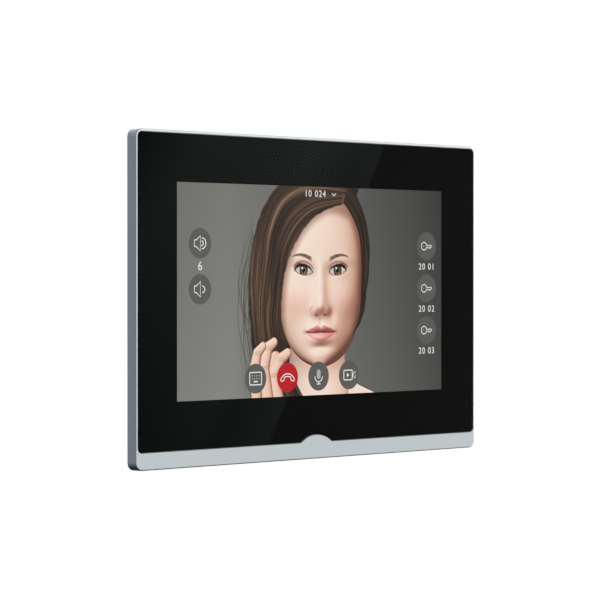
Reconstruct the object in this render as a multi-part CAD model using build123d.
"""Seven inch video intercom monitor: aluminium front frame, full-face glass, rear housing, wall bracket.

Millimetres. X is to the viewer's right, Z is up and the wall is the plane Y = 0, so the front faces -Y.
The origin is the centre of the wall bracket's four screw holes, on the wall.
"""

import os

from build123d import *

# ---- driving dimensions ----
# Front frame
FRAME_W = 197.0
FRAME_H = 131.8
FRAME_R = 3.2
FRAME_FRONT = -24.0
FRAME_BACK = -19.0
FRAME_EDGE_R = 0.6
RIM = 1.0
STRIP_H = 6.8
LEDGE_FRONT = -22.7
LEDGE_BACK = -20.8
WINDOW_W = 167.0
WINDOW_H = 105.0
BOSS_R = 2.0
BOSS_BORE_R = 1.0

# Cover glass, with the half-moon notch that the frame's strip rises into
GLASS_W = FRAME_W - 2 * RIM
GLASS_H = FRAME_H - RIM - STRIP_H
GLASS_Z = (STRIP_H - RIM) / 2
SCREEN_Z = GLASS_Z + 0.15
GLASS_FRONT = -24.3
GLASS_BACK = -23.2
GLASS_R = 2.1
GLASS_EDGE = 0.15
GLASS_GAP = 0.05
GLASS_BOTTOM = GLASS_Z - GLASS_H / 2
MOON_R = 14.8
MOON_RISE = 3.0
MOON_Z = GLASS_BOTTOM + MOON_RISE - MOON_R

# Behind the glass: printed ink, then the touch sensor inside a ring of tape
INK_BACK = -23.1
INK_OVERLAP = 0.12
SENSOR_BACK = -22.8
SENSOR_W = 175.0
SENSOR_H = 106.0

# Screen: a 7 inch cell of 1024 x 600 in a folded metal case
ACTIVE_W = 154.21
ACTIVE_H = 85.92
LCD_W = 165.0
LCD_H = 100.0
LCD_FRONT = -22.6
LCD_BACK = -17.4
LCD_SHEET = 0.3
TRAY_FRONT = -20.3
LED_COUNT = 27
LED_PITCH = 5.6

# Layers of the screen stack: width, height, front and back
LAYER_Z = SCREEN_Z + 1.5
SCREEN_LAYERS = {
    "lcd_cell": (161.0, 92.6, -22.2, -21.0),
    "optical_films": (158.0, 91.0, -20.7, -20.1),
    "light_guide": (158.0, 91.0, -20.1, -18.1),
    "reflector_sheet": (158.0, 91.0, -18.1, -17.9),
}

# Chassis and main board
CHASSIS_W = 176.0
CHASSIS_H = 101.0
CHASSIS_Z = 3.0
CHASSIS_FRONT = -17.3
CHASSIS_BACK = -16.5
BOARD_FRONT = -15.0
BOARD_BACK = -13.4
BOARD_W = 150.0
BOARD_H = 88.0
BOARD_X = 9.0
BOARD_Z = 2.0
BOARD_SCREWS = [(x, z) for x in (-60, 20, 78) for z in (-37, 41)]
FRAME_BOSSES = [(x, z) for x in (-85.6, 85.6) for z in (-38, 3.1, 44)]

# Packages on the back of the board: width, height, thickness, X, Z and corner radius
CPU_X = 63.0
CPU_Z = 4.0
PACKAGES = {
    "processor": (17, 17, 1.4, CPU_X, CPU_Z, 0),
    "flash_memory": (11.5, 13, 1.0, 43, -22, 0),
    "power_transformer": (13, 14, 6.4, -36, -14, 0.8),
    "power_inductor": (7, 7, 4.0, -36, 4, 1.5),
    "ethernet_transformer": (16, 10, 4.6, -15, 28, 0),
    "audio_amplifier": (5, 6, 1.5, -57, -22, 0),
    "crystal": (3.2, 2.5, 0.8, 52, 18, 0),
    "shield_can": (22, 16, 2.2, 46, 34, 0.6),
}
PAD_BACK = -11.0
SINK_W = 24.0
SINK_FINS = 8
SINK_PITCH = 3.2
CAPACITORS_X = (-31, -22, 50, 57)
CABLE_ROW_Z = -36.0
COIN_X = -46.0
COIN_Z = 30.0

# Flat cables: X and width
LCD_CABLE = (0.0, 20.0)
TOUCH_CABLE = (38.0, 12.0)
CABLE_T = 0.2

# Rear housing: a flange that nests in the frame, and a tapering box behind it
FLANGE_W = 194.0
FLANGE_H = 128.8
FLANGE_FRONT = -20.8
BOX_FRONT_W = 185.0
BOX_FRONT_H = 120.0
BOX_BACK_W = 163.0
BOX_BACK_H = 100.0
BOX_BACK = -0.5
BOX_R = 9.0
BOX_EDGE_R = 1.6
SKIN = 2.0
SKIN_ALONG_FACE = 2.3
VENTS = 13
VENT_PITCH = 7.0
GRILLE_SLOTS = 11
GRILLE_PITCH = 3.1
SCREW_SINK = FRAME_BACK - 0.9
HOUSING_SCREWS = [(-94.7, 0), (94.7, 0), (-60, 62.2), (60, 62.2), (-60, -62.2), (60, -62.2)]

# Wall bracket, its recess in the housing and the four hooks between them
BRACKET_W = 112.0
BRACKET_H = 76.0
BRACKET_T = 1.5
HOLE_R = 2.2
HOLE_X = 30.0
HOLE_Z = 32.0
WALL_HOLES = [(x, z) for x in (-HOLE_X, HOLE_X) for z in (-HOLE_Z, 0, HOLE_Z)]
LIFT = 8.0
RECESS_FLOOR = -2.0
RECESS_INNER = -4.0
WELL_FLOOR = -4.5
WELL_INNER = -6.0
WELL_R = 5.25
WELL_SKIN = 1.5
HOOKS = [(x, z) for x in (-46, 46) for z in (-16, 24)]
HOOK_W = 10.0
HOOK_TIP_BACK = -4.5
HOOK_TIP_FRONT = -6.0
HOOK_H = 8.0
HOOK_SLOT_W = 12.0
HOOK_SLOT_H = 11.0
HOOK_REST_GAP = 0.05
HOOK_CUT_GAP = 0.4

# Connection bay, and the matching cable window in the bracket
BAY_W = 48.0
BAY_LOW = -26.0
BAY_HIGH = 18.0
BAY_SKIN = 1.5
BAY_FRONT = -12.6

# Network socket
JACK_X = -15.0
JACK_W = 16.0
JACK_LOW = -3.0
JACK_LEN = 18.0
JACK_T = 11.5
JACK_MOUTH_W = 11.8
JACK_MOUTH_T = 7.0
JACK_DEPTH = 14.0

# Six-way pluggable terminal block
TERMINAL_X = 9.0
TERMINAL_PITCH = 3.5
TERMINAL_WAYS = 6
TERMINAL_W = TERMINAL_PITCH * TERMINAL_WAYS + 1.6
HEADER_LOW = 3.0
HEADER_H = 9.2
HEADER_T = 8.2
PLUG_BODY_H = 9.0

# Memory card
CARD_Z = 28.2
CARD_W = 11.0
CARD_L = 15.0
CARD_T = 0.8
CARD_END = 88.0
CARD_MID = -12.45
SOCKET_L = 14.0
SOCKET_END = 84.0

# Reset switch
RESET_X = 66.0
RESET_Z = -25.0
RESET_TIP = -5.0
RESET_BODY = 6.0
RESET_BODY_T = 3.5

# Loudspeaker, facing the grille in the housing's back
SPEAKER_X = -69.0
SPEAKER_Z = 0.0
SPEAKER_W = 19.0
SPEAKER_H = 40.0
SPEAKER_BACK = -3.3
SPEAKER_FRONT = -7.3
SPEAKER_SKIN = 0.8
SPEAKER_R = 4.0
CONE_BACK = -4.6
CONE_FRONT = -5.0
COIL_R = 4.2

# Microphone at the bottom of the housing
MIC_X = -40.0
MIC_Y = -13.5
MIC_LOW = -52.6


# ---- helpers ----
def wall_plane(y):
    """A sketch plane parallel to the wall at depth y: sketch axes X and Z, extrusion towards the viewer."""
    return Plane(origin=(0, y, 0), x_dir=(1, 0, 0), z_dir=(0, -1, 0))


def slab(width, height, front, back, radius=0.0, x=0.0, z=0.0):
    """A flat block between the depths front and back, with rounded corners if a radius is given."""
    outline = RectangleRounded(width, height, radius) if radius else Rectangle(width, height)
    return extrude(wall_plane(back) * Pos(x, z) * outline, amount=back - front)


def rod(radius, front, back, x=0.0, z=0.0):
    """A round bar along Y."""
    return extrude(wall_plane(back) * Pos(x, z) * Circle(radius), amount=back - front)


def upright(radius, low, high, x, y):
    """A round bar along Z."""
    return Pos(x, y, (low + high) / 2) * Cylinder(radius, high - low)


def box(x, y, z):
    """A block from its ranges along X, Y and Z."""
    middle = [(a + b) / 2 for a, b in (x, y, z)]
    return Pos(*middle) * Box(x[1] - x[0], y[1] - y[0], z[1] - z[0])


def group(solids):
    """Separate solids that share one node."""
    return Compound(children=[solid for part in solids for solid in part.solids()])


def on_board(width, height, thickness, x, z, radius=0.0):
    """A component standing on the back of the main board."""
    return slab(width, height, BOARD_BACK, BOARD_BACK + thickness, radius, x, z)


def screw(x, z, head_r, head_front, head_back, shank_r, shank_front):
    """A screw along Y, with a cross recess in its head and its point towards the viewer."""
    body = rod(head_r, head_front, head_back, x, z) + rod(shank_r, shank_front, head_front, x, z)
    arm = head_r * 1.1
    depth = (head_back - head_front) * 0.6
    body -= slab(arm, 0.5, head_back - depth, head_back + 0.1, 0, x, z)
    body -= slab(0.5, arm, head_back - depth, head_back + 0.1, 0, x, z)
    return body


def strip_along(points, radius, thickness, x, width):
    """A flat cable: a bent strip whose line is given in Y and Z, centred on x."""
    side = Plane(origin=(x - width / 2, 0, 0), x_dir=(0, 1, 0), z_dir=(1, 0, 0))
    line = FilletPolyline(*points, radius=radius)
    return extrude(side * trace(line, line_width=thickness), amount=width)


def lead(points, radii, radius):
    """A round wire along straight runs joined by arcs."""
    path = FilletPolyline(*points, radius=radii)
    section = Plane(origin=path @ 0, z_dir=path % 0) * Circle(radius)
    return sweep(section, path=path)


# ---- front ----
def front_frame():
    """Aluminium frame: thin rims, a wide bottom strip with the half-moon, a ledge and bosses behind."""
    body = slab(FRAME_W, FRAME_H, FRAME_FRONT, FRAME_BACK, FRAME_R)
    body = fillet(body.edges().group_by(Axis.Y)[0], FRAME_EDGE_R)
    pocket_w = GLASS_W + 2 * GLASS_GAP
    pocket_h = GLASS_H + 2 * GLASS_GAP
    pocket = slab(pocket_w, pocket_h, FRAME_FRONT - 1, LEDGE_FRONT, GLASS_R, 0, GLASS_Z)
    body -= pocket - rod(MOON_R, FRAME_FRONT - 1, LEDGE_FRONT, 0, MOON_Z)
    body -= slab(WINDOW_W, WINDOW_H, LEDGE_FRONT - 1, LEDGE_BACK + 1, 2, 0, SCREEN_Z)
    body -= slab(FLANGE_W + 0.2, FLANGE_H + 0.2, LEDGE_BACK, FRAME_BACK + 1, 1.9)
    for x, z in FRAME_BOSSES:
        body += rod(BOSS_R, LEDGE_BACK, CHASSIS_FRONT, x, z)
        body -= rod(BOSS_BORE_R, LEDGE_BACK, CHASSIS_FRONT, x, z)
    for x, z in HOUSING_SCREWS:
        body -= rod(BOSS_BORE_R, LEDGE_FRONT + 0.4, LEDGE_BACK + 1, x, z)
    return body


def glass_outline(front, back, gap=0.0):
    """The glass's outline as a slab, with its half-moon notch."""
    body = slab(GLASS_W - 2 * gap, GLASS_H - 2 * gap, front, back, GLASS_R - gap, 0, GLASS_Z)
    return body - rod(MOON_R + GLASS_GAP + gap, front, back, 0, MOON_Z)


def cover_glass():
    """Toughened glass over the whole front, standing slightly proud of the frame, with eased edges."""
    body = glass_outline(GLASS_FRONT, GLASS_BACK)
    return chamfer(body.edges().group_by(Axis.Y)[0], GLASS_EDGE)


def ink_border():
    """Black printed border on the back of the glass, open over the screen apart from its very edge."""
    border = glass_outline(GLASS_BACK, INK_BACK, 0.2)
    window_w = ACTIVE_W - 2 * INK_OVERLAP
    window_h = ACTIVE_H - 2 * INK_OVERLAP
    return border - slab(window_w, window_h, GLASS_BACK - 1, GLASS_BACK + 1, 0, 0, SCREEN_Z)


def adhesive_tape():
    """Ring of tape between the glass and the frame's ledge."""
    tape = glass_outline(INK_BACK, LEDGE_FRONT, 0.4)
    return tape - slab(SENSOR_W + 2, SENSOR_H + 2, INK_BACK - 1, LEDGE_FRONT + 1, 1, 0, SCREEN_Z)


def touch_sensor():
    """Sensor film bonded behind the glass, inside the tape ring."""
    return slab(SENSOR_W, SENSOR_H, INK_BACK, SENSOR_BACK, 1, 0, SCREEN_Z)


# ---- screen module ----
def lcd_bezel():
    """Stamped frame over the front and sides of the screen module."""
    body = slab(LCD_W, LCD_H, LCD_FRONT, LCD_BACK, 0.6, 0, SCREEN_Z)
    inner_w = LCD_W - 2 * LCD_SHEET
    inner_h = LCD_H - 2 * LCD_SHEET
    body -= slab(inner_w, inner_h, LCD_FRONT + LCD_SHEET, LCD_BACK + 1, 0.4, 0, SCREEN_Z)
    return body - slab(ACTIVE_W + 1.4, ACTIVE_H + 1.4, LCD_FRONT - 1, LCD_BACK, 0, 0, SCREEN_Z)


def led_strip():
    """Light bar along the light guide's lower edge: one flexible board and its row of LEDs."""
    low = SCREEN_Z - 48.6
    pieces = [box((-78, 78), (-18.4, -18.2), (low, low + 3.2))]
    for index in range(LED_COUNT):
        x = (index - (LED_COUNT - 1) / 2) * LED_PITCH
        pieces.append(box((x - 1.5, x + 1.5), (-19.4, -18.4), (low + 1.6, low + 2.6)))
    return group(pieces)


def lcd_back_tray():
    """Pressed tray that closes the back of the screen module."""
    width = LCD_W - 2 * LCD_SHEET - 0.2
    height = LCD_H - 2 * LCD_SHEET - 0.2
    tray = slab(width, height, TRAY_FRONT, LCD_BACK, 0.4, 0, SCREEN_Z)
    inner_w = width - 2 * LCD_SHEET
    inner_h = height - 2 * LCD_SHEET
    return tray - slab(inner_w, inner_h, TRAY_FRONT - 1, LCD_BACK - LCD_SHEET, 0.3, 0, SCREEN_Z)


# ---- chassis and board ----
def chassis_plate():
    """Steel plate that holds the screen in and carries the board, with notches for the flat cables."""
    body = slab(CHASSIS_W, CHASSIS_H, CHASSIS_FRONT, CHASSIS_BACK, 3, 0, CHASSIS_Z)
    for x, width in (LCD_CABLE, TOUCH_CABLE):
        body -= slab(width + 6, 6, CHASSIS_FRONT - 1, CHASSIS_BACK + 1, 0, x, -47)
    for x, z in FRAME_BOSSES:
        body -= rod(1.2, CHASSIS_FRONT - 1, CHASSIS_BACK + 1, x, z)
    for x, z in BOARD_SCREWS:
        body += rod(2.6, CHASSIS_BACK, BOARD_FRONT, x, z)
        body -= rod(1.15, CHASSIS_FRONT - 1, BOARD_FRONT + 1, x, z)
    return body


def chassis_screws():
    """Screws through the chassis into the frame's bosses."""
    return group([screw(x, z, 1.9, CHASSIS_BACK, CHASSIS_BACK + 1.4, 0.95, -20.0) for x, z in FRAME_BOSSES])


def main_board():
    """Main board with its screw holes."""
    body = slab(BOARD_W, BOARD_H, BOARD_FRONT, BOARD_BACK, 2, BOARD_X, BOARD_Z)
    for x, z in BOARD_SCREWS:
        body -= rod(1.35, BOARD_FRONT - 1, BOARD_BACK + 1, x, z)
    return body


def board_screws():
    """Screws through the board into the chassis standoffs."""
    return group([screw(x, z, 2.3, BOARD_BACK, BOARD_BACK + 1.6, 1.1, CHASSIS_FRONT) for x, z in BOARD_SCREWS])


def heat_sink():
    """Finned heat sink on the processor's pad."""
    fin_root = PAD_BACK + 1.2
    body = slab(SINK_W, SINK_W, PAD_BACK, fin_root, 0, CPU_X, CPU_Z)
    for index in range(SINK_FINS):
        x = CPU_X + (index - (SINK_FINS - 1) / 2) * SINK_PITCH
        body += slab(1.0, SINK_W, fin_root, fin_root + 2.8, 0, x, CPU_Z)
    return body


def electrolytic_capacitors():
    """Low can capacitors, each with a shallow groove round its can."""
    pieces = []
    for x in CAPACITORS_X:
        can = rod(3.1, BOARD_BACK, BOARD_BACK + 5.6, x, CABLE_ROW_Z)
        groove = (BOARD_BACK + 1.2, BOARD_BACK + 1.7)
        can -= rod(3.2, *groove, x, CABLE_ROW_Z) - rod(2.9, *groove, x, CABLE_ROW_Z)
        pieces.append(can)
    return group(pieces)


def coin_cell_holder():
    """Holder with a round well for the clock's coin cell."""
    body = on_board(16, 16, 3.2, COIN_X, COIN_Z, 1)
    return body - rod(6.4, BOARD_BACK + 0.8, BOARD_BACK + 4, COIN_X, COIN_Z)


def flat_cable_connectors():
    """Sockets of the two flat cables on the board."""
    return group([on_board(width + 3, 4.4, 2.0, x, CABLE_ROW_Z) for x, width in (LCD_CABLE, TOUCH_CABLE)])


# ---- connections ----
def jack_x(offset):
    """An X position measured from the network socket's centre line."""
    return JACK_X + offset


def rj45_body():
    """Plastic body of the network socket, open downwards, with the latch channel."""
    back = BOARD_BACK + JACK_T
    high = JACK_LOW + JACK_LEN
    half = JACK_W / 2 - 0.3
    body = box((jack_x(-half), jack_x(half)), (BOARD_BACK, back - 0.3), (JACK_LOW, high - 0.3))
    mouth = (BOARD_BACK + 1.6, BOARD_BACK + 1.6 + JACK_MOUTH_T)
    body -= box((jack_x(-JACK_MOUTH_W / 2), jack_x(JACK_MOUTH_W / 2)), mouth, (JACK_LOW - 1, JACK_LOW + JACK_DEPTH))
    body -= box((jack_x(-3), jack_x(3)), (mouth[1] - 0.1, mouth[1] + 1.6), (JACK_LOW - 1, JACK_LOW + 9))
    return body


def rj45_shield():
    """Folded metal shield over the back, the sides and the top of the network socket."""
    back = BOARD_BACK + JACK_T
    high = JACK_LOW + JACK_LEN
    half = JACK_W / 2
    shell = box((jack_x(-half), jack_x(half)), (BOARD_BACK, back), (JACK_LOW, high))
    inner = half - 0.3
    return shell - box((jack_x(-inner), jack_x(inner)), (BOARD_BACK - 1, back - 0.3), (JACK_LOW - 1, high - 0.3))


def rj45_contacts():
    """Eight sprung contacts along the mouth's floor."""
    pieces = []
    for index in range(8):
        x = jack_x((index - 3.5) * 1.02)
        y = BOARD_BACK + 1.6
        pieces.append(box((x - 0.2, x + 0.2), (y, y + 0.5), (JACK_LOW + 3, JACK_LOW + JACK_DEPTH)))
    return group(pieces)


def way_x(index):
    """The X position of one way of the terminal block."""
    return TERMINAL_X + (index - (TERMINAL_WAYS - 1) / 2) * TERMINAL_PITCH


def terminal_header():
    """Shrouded header on the board, open downwards."""
    half = TERMINAL_W / 2
    high = HEADER_LOW + HEADER_H
    body = box((TERMINAL_X - half, TERMINAL_X + half), (BOARD_BACK, BOARD_BACK + HEADER_T), (HEADER_LOW, high))
    inner = half - 0.9
    depth = (BOARD_BACK + 0.8, BOARD_BACK + HEADER_T - 0.8)
    return body - box((TERMINAL_X - inner, TERMINAL_X + inner), depth, (HEADER_LOW - 1, high - 1.5))


def terminal_pins():
    """Pins of the header."""
    middle = BOARD_BACK + HEADER_T / 2
    top = HEADER_LOW + HEADER_H - 1.5
    return group([upright(0.5, HEADER_LOW + 1.2, top, way_x(i), middle) for i in range(TERMINAL_WAYS)])


def terminal_plug():
    """Plug-in screw terminal block: a nose in the header's shroud and a wider wiring body below it."""
    half = TERMINAL_W / 2
    middle = BOARD_BACK + HEADER_T / 2
    nose = half - 1.05
    thick = HEADER_T / 2 - 0.95
    top = HEADER_LOW + HEADER_H - 1.9
    low = HEADER_LOW - PLUG_BODY_H
    body = box((TERMINAL_X - nose, TERMINAL_X + nose), (middle - thick, middle + thick), (HEADER_LOW, top))
    body += box((TERMINAL_X - half, TERMINAL_X + half), (middle - 3.6, middle + 4.4), (low, HEADER_LOW - 0.1))
    body += box((TERMINAL_X - nose, TERMINAL_X + nose), (middle - thick, middle + thick), (low + 1, top))
    for index in range(TERMINAL_WAYS):
        x = way_x(index)
        body -= upright(0.7, HEADER_LOW - 1, top + 1, x, middle)
        body -= box((x - 1.2, x + 1.2), (middle - 1.8, middle + 0.6), (low - 1, low + 6))
        body -= rod(1.4, middle + 1.6, middle + 5, x, low + 4)
    return body


def terminal_screws():
    """Slotted clamp screws of the plug."""
    middle = BOARD_BACK + HEADER_T / 2
    low = HEADER_LOW - PLUG_BODY_H
    pieces = []
    for index in range(TERMINAL_WAYS):
        x = way_x(index)
        body = rod(1.3, middle + 1.6, middle + 3.9, x, low + 4)
        pieces.append(body - slab(3, 0.5, middle + 3.2, middle + 5, 0, x, low + 4))
    return group(pieces)


def microsd_socket():
    """Card socket at the board's right edge."""
    start = SOCKET_END - SOCKET_L
    body = box((start, SOCKET_END), (BOARD_BACK, BOARD_BACK + 1.9), (CARD_Z - 7.3, CARD_Z + 7.3))
    half = CARD_W / 2 + 0.15
    return body - box((start + 1, SOCKET_END + 1), (CARD_MID - 0.5, CARD_MID + 0.5), (CARD_Z - half, CARD_Z + half))


def microsd_card():
    """Memory card, with one corner cut off at a slant."""
    start = CARD_END - CARD_L
    depth = (CARD_MID - CARD_T / 2, CARD_MID + CARD_T / 2)
    body = box((start, CARD_END), depth, (CARD_Z - CARD_W / 2, CARD_Z + CARD_W / 2))
    corner = body.edges().filter_by(Axis.Y).group_by(Axis.X)[0].sort_by(Axis.Z)[-1]
    return chamfer(corner, 1.5)


def reset_switch():
    """Tactile switch body."""
    body = on_board(RESET_BODY, RESET_BODY, RESET_BODY_T, RESET_X, RESET_Z, 0.5)
    return body - rod(1.8, BOARD_BACK + 1.5, BOARD_BACK + 5, RESET_X, RESET_Z)


def reset_plunger():
    """Plunger of the tactile switch, reached through the pinhole."""
    return rod(1.7, BOARD_BACK + 2.0, RESET_TIP, RESET_X, RESET_Z)


# ---- sound ----
def speaker_slab(inset, front, back):
    """The loudspeaker's outline, drawn in by an inset, as a slab."""
    radius = SPEAKER_R - 0.75 * inset
    return slab(SPEAKER_W - 2 * inset, SPEAKER_H - 2 * inset, front, back, radius, SPEAKER_X, SPEAKER_Z)


def speaker_basket():
    """Basket of the loudspeaker, open to the back, with a hole for the voice coil."""
    body = slab(SPEAKER_W, SPEAKER_H, SPEAKER_FRONT, SPEAKER_BACK, SPEAKER_R, SPEAKER_X, SPEAKER_Z)
    body -= speaker_slab(SPEAKER_SKIN, SPEAKER_FRONT + SPEAKER_SKIN, SPEAKER_BACK + 1)
    return body - rod(COIL_R + 0.6, SPEAKER_FRONT - 1, SPEAKER_BACK, SPEAKER_X, SPEAKER_Z)


def speaker_cone():
    """Flat cone with its voice coil."""
    cone = slab(12.6, 33.4, CONE_FRONT, CONE_BACK, 6.2, SPEAKER_X, SPEAKER_Z)
    coil = rod(COIL_R, -6.8, CONE_FRONT, SPEAKER_X, SPEAKER_Z)
    coil -= rod(COIL_R - 0.5, -7, CONE_FRONT, SPEAKER_X, SPEAKER_Z)
    dome = rod(COIL_R, CONE_BACK, CONE_BACK + 0.4, SPEAKER_X, SPEAKER_Z)
    return cone + coil + dome


def speaker_surround():
    """Flexible ring between the cone and the basket."""
    ring = speaker_slab(SPEAKER_SKIN, CONE_BACK, CONE_BACK + 0.4)
    return ring - slab(13.6, 34.4, CONE_BACK - 1, CONE_BACK + 1, 6.7, SPEAKER_X, SPEAKER_Z)


def speaker_gasket():
    """Foam ring between the loudspeaker and the housing."""
    ring = speaker_slab(0, SPEAKER_BACK, BOX_BACK - SKIN)
    return ring - speaker_slab(2, SPEAKER_BACK - 1, BOX_BACK)


def speaker_lead():
    """Pair of wires from the loudspeaker to the board."""
    pieces = []
    for shift in (-0.6, 0.6):
        x = SPEAKER_X + shift
        low = -31 + shift
        points = [(x, -5.5, -20.0), (x, -5.5, -26), (x + 3, -8.0, low), (x + 3, -11.4, low), (-52, -11.4, low)]
        pieces.append(lead(points, 1.3, 0.5))
    return group(pieces)


def microphone_boot():
    """Rubber boot that seals the microphone to the housing's bottom wall."""
    body = upright(3.5, MIC_LOW, MIC_LOW + 3.4, MIC_X, MIC_Y)
    body -= upright(0.7, MIC_LOW - 1, MIC_LOW + 1.5, MIC_X, MIC_Y)
    return body - upright(2.5, MIC_LOW + 1.0, MIC_LOW + 5, MIC_X, MIC_Y)


def microphone_lead():
    """Pair of wires from the microphone to the board."""
    pieces = []
    for shift in (-0.6, 0.6):
        x = MIC_X + shift
        points = [(x, MIC_Y, MIC_LOW + 3.2), (x, MIC_Y, -46), (x, -11.0, -44), (x, -11.0, -40.6)]
        pieces.append(lead(points, [1.2, 1.2], 0.4))
    return group(pieces)


# ---- rear housing and bracket ----
def taper(inset, front, back):
    """The housing's tapering box between two depths, inset from its outer face."""
    def outline(y):
        share = (y - FRAME_BACK) / (BOX_BACK - FRAME_BACK)
        width = BOX_FRONT_W + (BOX_BACK_W - BOX_FRONT_W) * share - 2 * inset
        height = BOX_FRONT_H + (BOX_BACK_H - BOX_FRONT_H) * share - 2 * inset
        return wall_plane(y) * RectangleRounded(width, height, BOX_R - inset)
    return loft([outline(front), outline(back)])


def screw_well(radius, front, back, x, z):
    """Long round-ended block around a screw head and its travel, as the monitor lifts past it."""
    outline = Pos(x, z - LIFT / 2) * SlotOverall(2 * radius + LIFT, 2 * radius, rotation=90)
    return extrude(wall_plane(back) * outline, amount=back - front)


def rear_housing():
    """Moulded rear housing: flange, tapered box, bracket recess, bay, hook slots, grille and vents."""
    body = slab(FLANGE_W, FLANGE_H, FLANGE_FRONT, FRAME_BACK, 1.8) + taper(0, FRAME_BACK, BOX_BACK)
    body = fillet(body.edges().group_by(Axis.Y)[-1], BOX_EDGE_R)
    inner = taper(SKIN_ALONG_FACE, FRAME_BACK, BOX_BACK - SKIN)
    opening_w = BOX_FRONT_W - 2 * SKIN_ALONG_FACE
    opening_h = BOX_FRONT_H - 2 * SKIN_ALONG_FACE
    inner += slab(opening_w, opening_h, FLANGE_FRONT - 1, FRAME_BACK, BOX_R - SKIN_ALONG_FACE)
    body -= inner
    recess_h = BRACKET_H + LIFT + 1.5
    recess_z = -(LIFT + 0.5) / 2
    body += slab(BRACKET_W + 6, recess_h + 4, RECESS_INNER, BOX_BACK - SKIN, 0, 0, recess_z)
    body += slab(BAY_W + 2 * BAY_SKIN, BAY_HIGH - BAY_LOW + 2 * BAY_SKIN, BAY_FRONT, RECESS_INNER, 0, 0,
                 (BAY_HIGH + BAY_LOW) / 2)
    for x, z in WALL_HOLES:
        body += screw_well(WELL_R + WELL_SKIN, WELL_INNER, RECESS_INNER, x, z)
    body -= slab(BRACKET_W + 2, recess_h, RECESS_FLOOR, 1, 2, 0, recess_z)
    for x, z in WALL_HOLES:
        body -= screw_well(WELL_R, WELL_FLOOR, RECESS_FLOOR + 0.5, x, z)
    body -= slab(BAY_W, BAY_HIGH - BAY_LOW, BAY_FRONT - 1, 1, 1.5, 0, (BAY_HIGH + BAY_LOW) / 2)
    for x, z in HOOKS:
        high = z + BRACKET_T + HOOK_REST_GAP
        slot_x = (x - HOOK_SLOT_W / 2, x + HOOK_SLOT_W / 2)
        body -= box(slot_x, (RECESS_INNER - 1, 1), (high - HOOK_SLOT_H, high))
    for index in range(GRILLE_SLOTS):
        z = SPEAKER_Z + (index - (GRILLE_SLOTS - 1) / 2) * GRILLE_PITCH
        body -= slab(13, 1.5, BOX_BACK - SKIN - 1, 1, 0.7, SPEAKER_X, z)
    for index in range(VENTS):
        x = (index - (VENTS - 1) / 2) * VENT_PITCH
        for z in (-54, 54):
            body -= box((x - 1.1, x + 1.1), (-16, -7), (z - 8, z + 8)) & taper(-1, -17, -5)
    body -= box((84, 94), (CARD_MID - 0.9, CARD_MID + 0.9), (CARD_Z - 6.2, CARD_Z + 6.2))
    body -= rod(0.9, BOX_BACK - SKIN - 1, 1, RESET_X, RESET_Z)
    body -= upright(0.75, -62, -50, MIC_X, MIC_Y)
    for x, z in HOUSING_SCREWS:
        body -= rod(1.15, FLANGE_FRONT - 1, FRAME_BACK + 1, x, z)
        body -= rod(1.95, SCREW_SINK, FRAME_BACK + 1, x, z)
    return body


def housing_screws():
    """Screws through the housing's flange into the frame."""
    point = LEDGE_FRONT + 0.5
    return group([screw(x, z, 1.85, SCREW_SINK, SCREW_SINK + 0.8, 0.9, point) for x, z in HOUSING_SCREWS])


def hook(x, z):
    """One upturned hook: a tongue towards the viewer with a tip that the housing drops behind."""
    half = HOOK_W / 2
    tongue = box((x - half, x + half), (HOOK_TIP_FRONT, 0), (z, z + BRACKET_T))
    tip = box((x - half, x + half), (HOOK_TIP_FRONT, HOOK_TIP_BACK), (z, z + HOOK_H))
    return tongue + chamfer(tip.edges().filter_by(Axis.Y).group_by(Axis.Z)[-1], 1.5)


def wall_bracket():
    """Steel wall bracket with its screw holes, cable window and four hooks cut from the plate."""
    body = slab(BRACKET_W, BRACKET_H, -BRACKET_T, 0, 3)
    body -= slab(BAY_W, BAY_HIGH - BAY_LOW, -BRACKET_T - 1, 1, 1.5, 0, (BAY_HIGH + BAY_LOW) / 2)
    for x, z in WALL_HOLES:
        body -= rod(HOLE_R, -BRACKET_T - 1, 1, x, z)
    half = HOOK_W / 2 + HOOK_CUT_GAP
    for x, z in HOOKS:
        body -= box((x - half, x + half), (-BRACKET_T - 1, 1), (z + BRACKET_T, z + 10))
        body += hook(x, z)
    return body


# ---- every node ----
def flat_cables():
    """The screen's and the touch sensor's flat cables, round the chassis's lower edge to the board's back."""
    on_sensor = SENSOR_BACK + CABLE_T / 2
    plug_in = CABLE_ROW_Z - 2.2
    screen = [(-19.5, SCREEN_Z - LCD_H / 2 - 0.05), (-19.5, -48.8), (-12.7, -48.8), (-12.7, plug_in)]
    touch = [(on_sensor, -49.1), (on_sensor, -48.1), (-12.7, -48.1), (-12.7, plug_in)]
    return strip_along(screen, 0.6, CABLE_T, *LCD_CABLE), strip_along(touch, 0.4, CABLE_T, *TOUCH_CABLE)


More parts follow.
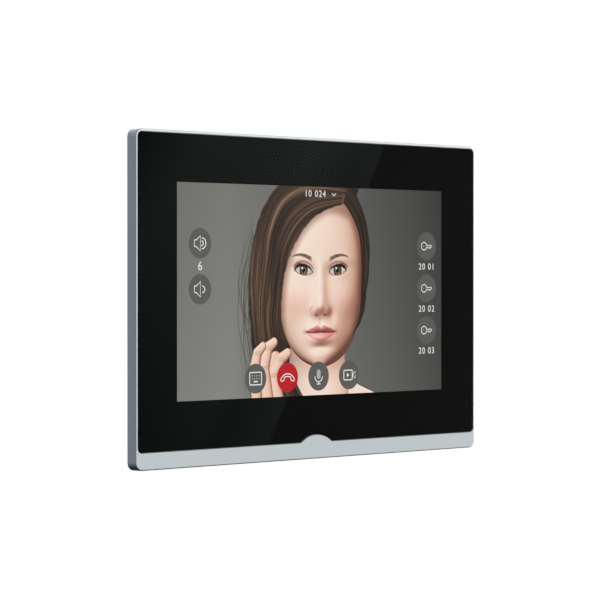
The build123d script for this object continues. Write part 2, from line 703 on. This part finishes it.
def main():
    """Build every node and write it to parts/."""
    lcd_flat_cable, touch_flat_cable = flat_cables()
    nodes = {
        "wall_bracket": wall_bracket(),
        "front_frame": front_frame(),
        "cover_glass": cover_glass(),
        "ink_border": ink_border(),
        "adhesive_tape": adhesive_tape(),
        "touch_sensor": touch_sensor(),
        "lcd_bezel": lcd_bezel(),
        "led_strip": led_strip(),
        "lcd_back_tray": lcd_back_tray(),
        "chassis_plate": chassis_plate(),
        "chassis_screws": chassis_screws(),
        "main_board": main_board(),
        "board_screws": board_screws(),
        "thermal_pad": slab(15, 15, BOARD_BACK + 1.4, PAD_BACK, 0, CPU_X, CPU_Z),
        "heat_sink": heat_sink(),
        "memory_chips": group([on_board(9, 13, 1.0, 43, z) for z in (-4, 12)]),
        "electrolytic_capacitors": electrolytic_capacitors(),
        "coin_cell_holder": coin_cell_holder(),
        "coin_cell": rod(6.2, BOARD_BACK + 0.8, BOARD_BACK + 2.8, COIN_X, COIN_Z),
        "rj45_body": rj45_body(),
        "rj45_shield": rj45_shield(),
        "rj45_contacts": rj45_contacts(),
        "terminal_header": terminal_header(),
        "terminal_pins": terminal_pins(),
        "terminal_plug": terminal_plug(),
        "terminal_screws": terminal_screws(),
        "microsd_socket": microsd_socket(),
        "microsd_card": microsd_card(),
        "reset_switch": reset_switch(),
        "reset_plunger": reset_plunger(),
        "speaker_basket": speaker_basket(),
        "speaker_magnet": rod(7, -10.3, SPEAKER_FRONT, SPEAKER_X, SPEAKER_Z),
        "speaker_cone": speaker_cone(),
        "speaker_surround": speaker_surround(),
        "speaker_gasket": speaker_gasket(),
        "speaker_lead": speaker_lead(),
        "microphone_boot": microphone_boot(),
        "microphone": upright(2.45, MIC_LOW + 1.0, MIC_LOW + 3.2, MIC_X, MIC_Y),
        "microphone_lead": microphone_lead(),
        "lcd_flat_cable": lcd_flat_cable,
        "touch_flat_cable": touch_flat_cable,
        "flat_cable_connectors": flat_cable_connectors(),
        "lead_connectors": group([on_board(5, 5, 3.0, -49.5, -31), on_board(4, 4, 3.0, MIC_X, -38.6)]),
        "rear_housing": rear_housing(),
        "housing_screws": housing_screws(),
    }
    for name, (width, height, front, back) in SCREEN_LAYERS.items():
        nodes[name] = slab(width, height, front, back, 0, 0, LAYER_Z)
    for name, package in PACKAGES.items():
        nodes[name] = on_board(*package)
    os.makedirs("parts", exist_ok=True)
    for name, shape in nodes.items():
        export_step(shape, f"parts/{name}.step")
    print(len(nodes), "nodes written")


main()
